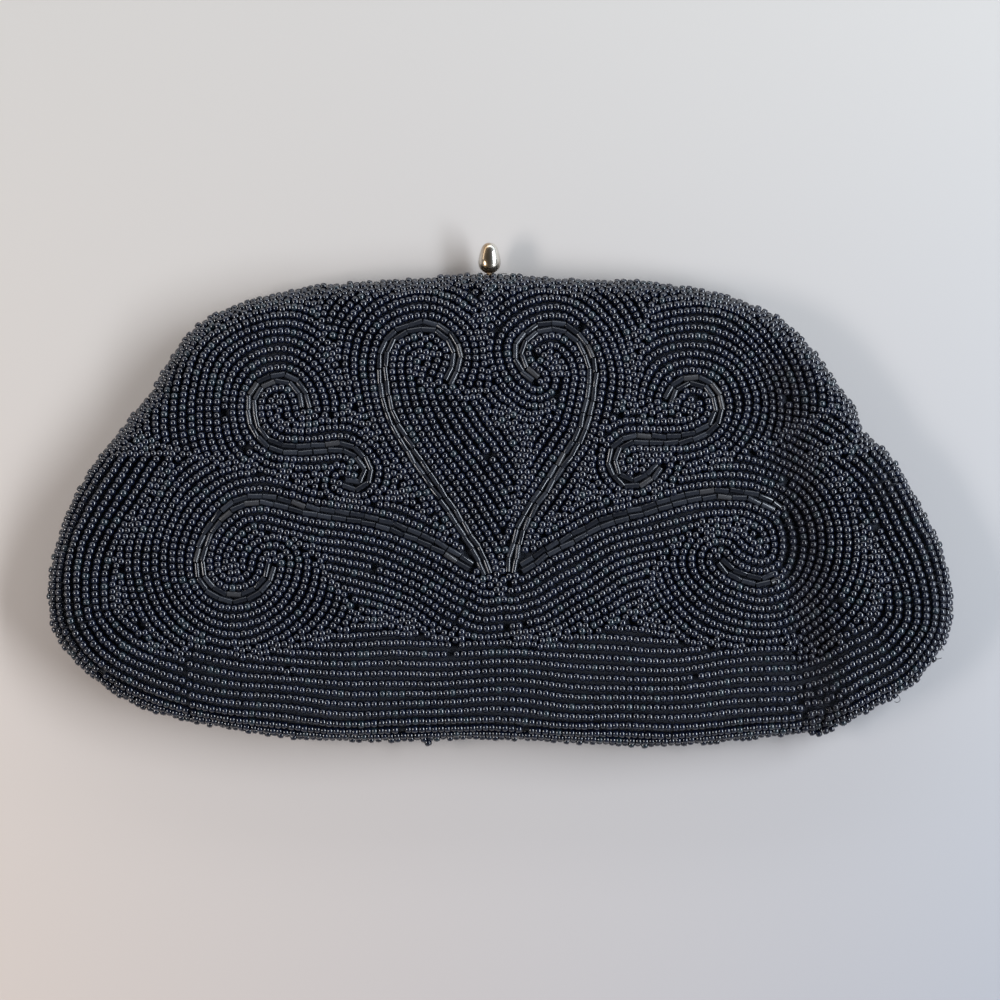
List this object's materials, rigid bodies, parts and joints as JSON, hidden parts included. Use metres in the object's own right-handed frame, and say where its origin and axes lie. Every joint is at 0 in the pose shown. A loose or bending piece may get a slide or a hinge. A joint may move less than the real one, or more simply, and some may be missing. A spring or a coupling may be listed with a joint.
{
  "type": "beaded evening bag",
  "caption": "Hand-held evening bag covered in black beads, with beaded scrolls, a hinged frame inside the mouth and a knob clasp on the top edge.",
  "frame": {"origin": "middle of the footprint, knob included, on the surface that the bag lies on", "axes": "+X across the bag to the right of its front, +Y towards the knob, +Z out of the front"},
  "size_m": [0.2298, 0.1282, 0.0185],
  "materials": {
    "seed_beads": "glossy black glass seed beads sewn on cloth",
    "bugle_beads": "glossy black glass bugle beads",
    "interlining": "stiff buckram card",
    "satin": "black satin",
    "frame_steel": "plated steel",
    "nickel": "polished nickel plate"
  },
  "bodies": {
    "rear_half": {"rear_panel": "seed_beads", "rear_interlining": "interlining", "rear_lining": "satin", "inner_pocket": "satin", "rear_frame": "frame_steel", "hinge_rivet_left": "frame_steel", "hinge_rivet_right": "frame_steel", "clasp_bracket": "frame_steel", "clasp_pin": "frame_steel", "front_panel_lower": "seed_beads", "front_interlining_lower": "interlining", "front_lining_lower": "satin", "front_panel_fold": "seed_beads", "front_lining_fold": "satin", "left_heart_scroll_fold": "bugle_beads", "right_heart_scroll_fold": "bugle_beads", "left_side_scroll_fold": "bugle_beads", "right_side_scroll_fold": "bugle_beads", "left_heart_scroll_lower": "bugle_beads", "right_heart_scroll_lower": "bugle_beads", "left_side_scroll_lower": "bugle_beads", "right_side_scroll_lower": "bugle_beads", "left_low_scroll_lower": "bugle_beads", "right_low_scroll_lower": "bugle_beads"},
    "front_half": {"front_frame": "frame_steel", "front_panel_top": "seed_beads", "front_interlining_top": "interlining", "front_lining_top": "satin", "left_heart_scroll_top": "bugle_beads", "right_heart_scroll_top": "bugle_beads", "left_side_scroll_top": "bugle_beads", "right_side_scroll_top": "bugle_beads"},
    "clasp": {"clasp_lever": "nickel", "clasp_knob": "nickel"}
  },
  "joints": [
    {"name": "frame_hinge", "type": "hinge", "parent": "rear_half", "child": "front_half", "pos_m": [0, 0.02022, 0.007], "axis": [1, 0, 0], "range_deg": [0, 80], "deforming": ["front_panel_fold", "front_lining_fold", "left_heart_scroll_fold", "right_heart_scroll_fold", "left_side_scroll_fold", "right_side_scroll_fold"]},
    {"name": "clasp_flip", "type": "hinge", "parent": "rear_half", "child": "clasp", "pos_m": [-0.0028, 0.05392, 0.007], "axis": [-1, 0, 0], "range_deg": [0, 35]}
  ]
}
